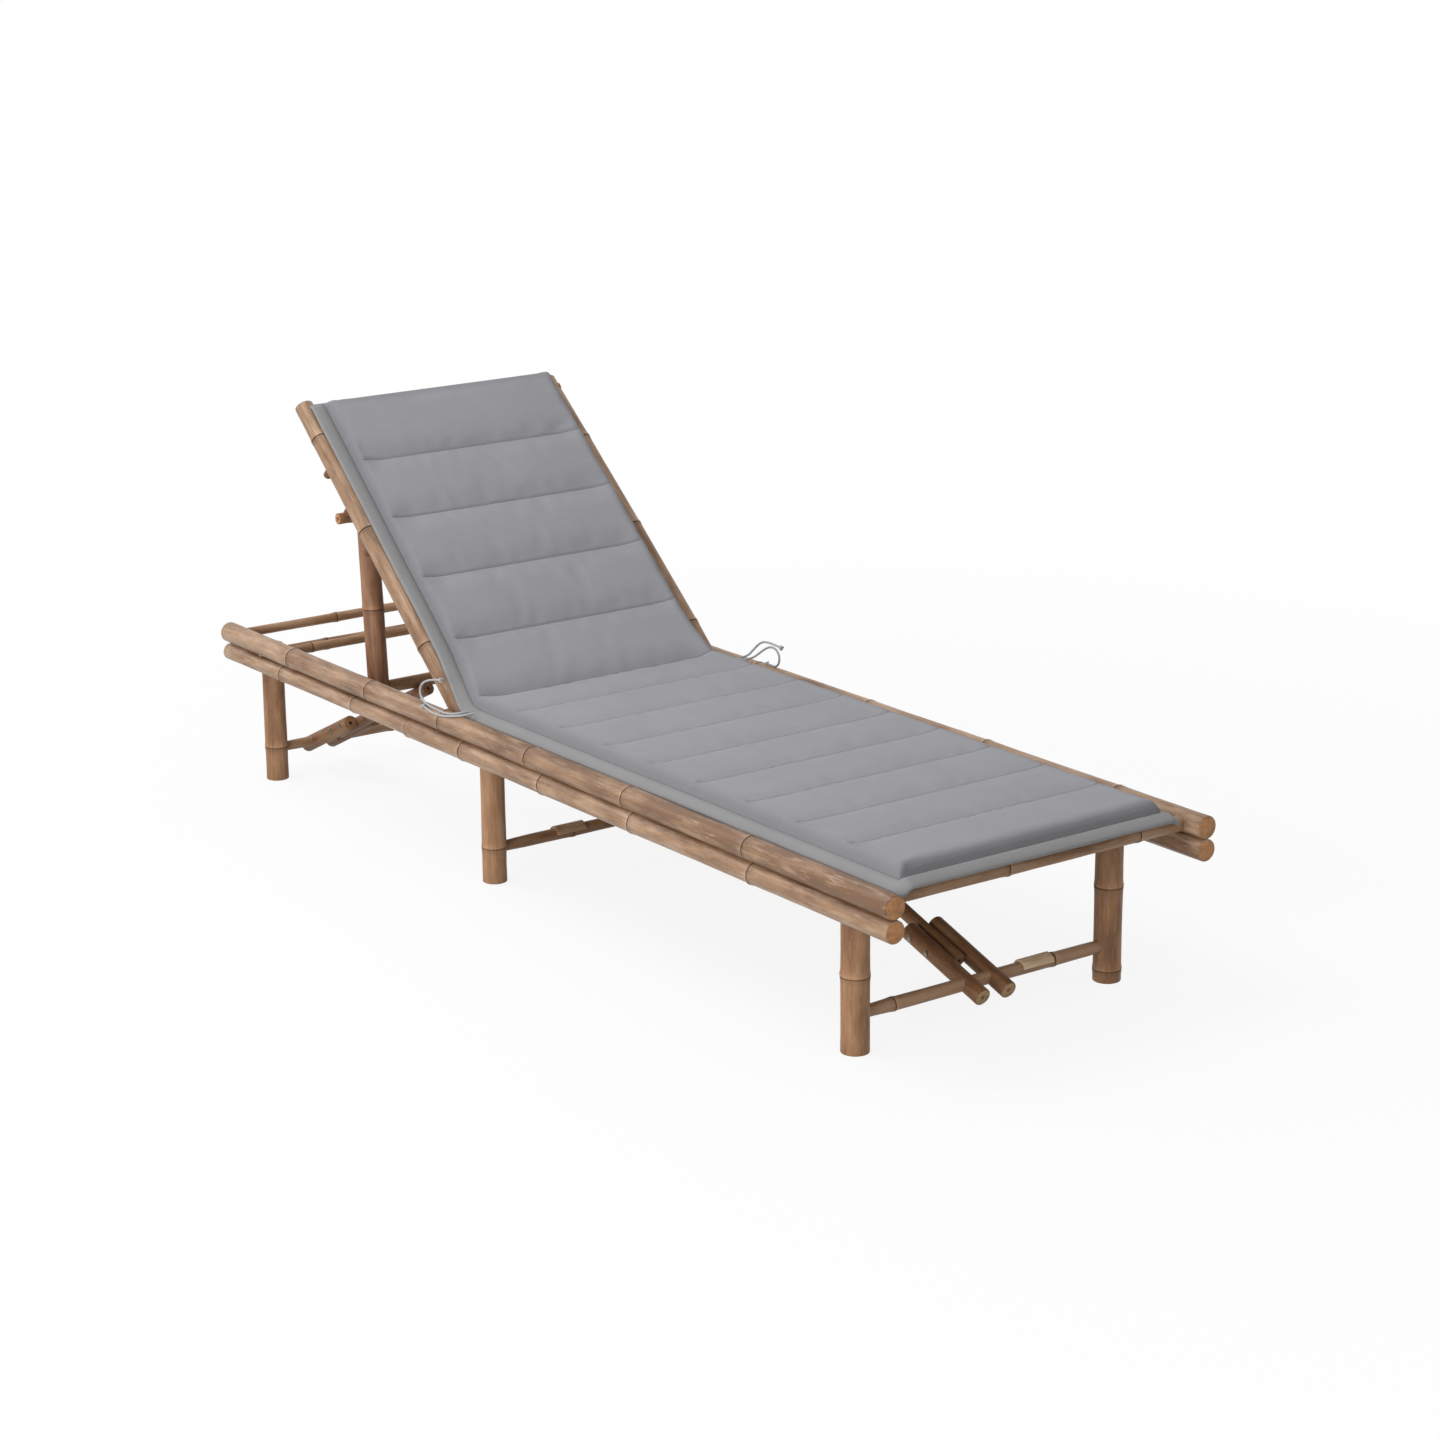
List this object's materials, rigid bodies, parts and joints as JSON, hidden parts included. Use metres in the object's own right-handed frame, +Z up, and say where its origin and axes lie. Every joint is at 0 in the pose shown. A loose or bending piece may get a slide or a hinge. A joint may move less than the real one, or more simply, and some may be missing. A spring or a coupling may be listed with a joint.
{
  "type": "sun lounger",
  "caption": "Bamboo sun lounger with a hinged backrest on a peg-and-bar prop, folding braced leg frames, split slats and a grey channelled cushion tied on at the fold.",
  "frame": {"origin": "on the floor, under the middle of the base frame", "axes": "+X to the lying person's left, +Y towards the head end, +Z up"},
  "size_m": [0.6511, 2, 0.7611],
  "materials": {
    "rail_bamboo": "matt varnished bamboo culm",
    "pole_bamboo": "matt varnished bamboo culm",
    "leg_bamboo": "matt varnished bamboo culm",
    "prop_bamboo": "matt varnished brown bamboo culm",
    "peg_wood": "oiled hardwood",
    "split_bamboo": "matt split bamboo",
    "bolt_steel": "dull steel",
    "cushion_fabric": "plain woven grey fabric over soft fill",
    "tie_cord": "braided cord"
  },
  "bodies": {
    "frame": {"rail_upper_right": "rail_bamboo", "rail_upper_left": "rail_bamboo", "rail_lower_right": "rail_bamboo", "rail_lower_left": "rail_bamboo", "rail_dowels": "peg_wood", "foot_crosspole": "pole_bamboo", "seat_crosspole_front": "pole_bamboo", "seat_crosspole_middle": "pole_bamboo", "seat_crosspole_rear": "pole_bamboo", "hinge_crosspole": "pole_bamboo", "rest_crosspole": "pole_bamboo", "head_crosspole": "pole_bamboo", "foot_leg_pole": "pole_bamboo", "center_crosspole": "pole_bamboo", "mid_leg_pole": "pole_bamboo", "prop_crosspole": "pole_bamboo", "head_leg_pole": "pole_bamboo", "seat_slats": "split_bamboo", "seat_pad": "cushion_fabric", "tie_right_a": "tie_cord", "tie_right_b": "tie_cord", "tie_left_a": "tie_cord", "tie_left_b": "tie_cord"},
    "foot_legs": {"foot_leg_right": "leg_bamboo", "foot_leg_left": "leg_bamboo", "foot_stretcher": "pole_bamboo", "foot_saddle": "leg_bamboo"},
    "foot_brace": {"foot_brace_pole": "pole_bamboo", "foot_brace_fork_right": "pole_bamboo", "foot_brace_fork_left": "pole_bamboo", "foot_brace_bolts": "bolt_steel"},
    "mid_legs": {"mid_leg_right": "leg_bamboo", "mid_leg_left": "leg_bamboo", "mid_stretcher": "pole_bamboo", "mid_saddle": "leg_bamboo"},
    "mid_brace": {"mid_brace_pole": "pole_bamboo", "mid_brace_fork_right": "pole_bamboo", "mid_brace_fork_left": "pole_bamboo", "mid_brace_bolts": "bolt_steel"},
    "head_legs": {"head_leg_right": "leg_bamboo", "head_leg_left": "leg_bamboo", "head_stretcher": "pole_bamboo"},
    "head_brace": {"head_brace_pole": "pole_bamboo", "head_brace_fork_right": "pole_bamboo", "head_brace_fork_left": "pole_bamboo", "head_brace_bolts": "bolt_steel"},
    "backrest": {"backrest_rail_right": "rail_bamboo", "backrest_rail_left": "rail_bamboo", "backrest_pegs_right": "peg_wood", "backrest_pegs_left": "peg_wood", "backrest_pole_low": "pole_bamboo", "backrest_pole_middle": "pole_bamboo", "backrest_pole_top": "pole_bamboo", "backrest_slats": "split_bamboo", "back_pad": "cushion_fabric"},
    "prop": {"prop_post_right": "prop_bamboo", "prop_post_left": "prop_bamboo", "prop_bar": "prop_bamboo"}
  },
  "joints": [
    {"name": "backrest_tilt", "type": "hinge", "parent": "frame", "child": "backrest", "pos_m": [0, 0.235, 0.2825], "axis": [1, 0, 0], "range_deg": [-32.5, 6]},
    {"name": "prop_swing", "type": "hinge", "parent": "frame", "child": "prop", "pos_m": [0, 0.595, 0.2462], "axis": [1, 0, 0], "range_deg": [-68.25, 12.6]},
    {"name": "foot_legs_fold", "type": "hinge", "parent": "frame", "child": "foot_legs", "pos_m": [0, -0.84, 0.2462], "axis": [1, 0, 0], "range_deg": [0, 80]},
    {"name": "foot_brace_swing", "type": "hinge", "parent": "foot_legs", "child": "foot_brace", "pos_m": [0, -0.84, 0.06], "axis": [1, 0, 0], "range_deg": [-106.08, 0]},
    {"name": "mid_legs_fold", "type": "hinge", "parent": "frame", "child": "mid_legs", "pos_m": [0, 0.165, 0.2462], "axis": [-1, 0, 0], "range_deg": [0, 80]},
    {"name": "mid_brace_swing", "type": "hinge", "parent": "mid_legs", "child": "mid_brace", "pos_m": [0, 0.165, 0.06], "axis": [-1, 0, 0], "range_deg": [-106.08, 0]},
    {"name": "head_legs_fold", "type": "hinge", "parent": "frame", "child": "head_legs", "pos_m": [0, 0.935, 0.2462], "axis": [-1, 0, 0], "range_deg": [0, 80]},
    {"name": "head_brace_swing", "type": "hinge", "parent": "head_legs", "child": "head_brace", "pos_m": [0, 0.935, 0.06], "axis": [-1, 0, 0], "range_deg": [-113.6, 0]}
  ],
  "couplings": [
    {"joint": "prop_swing", "follows": "backrest_tilt", "ratio": 2.1},
    {"joint": "foot_brace_swing", "follows": "foot_legs_fold", "ratio": -1.326},
    {"joint": "mid_brace_swing", "follows": "mid_legs_fold", "ratio": -1.326},
    {"joint": "head_brace_swing", "follows": "head_legs_fold", "ratio": -1.42}
  ]
}
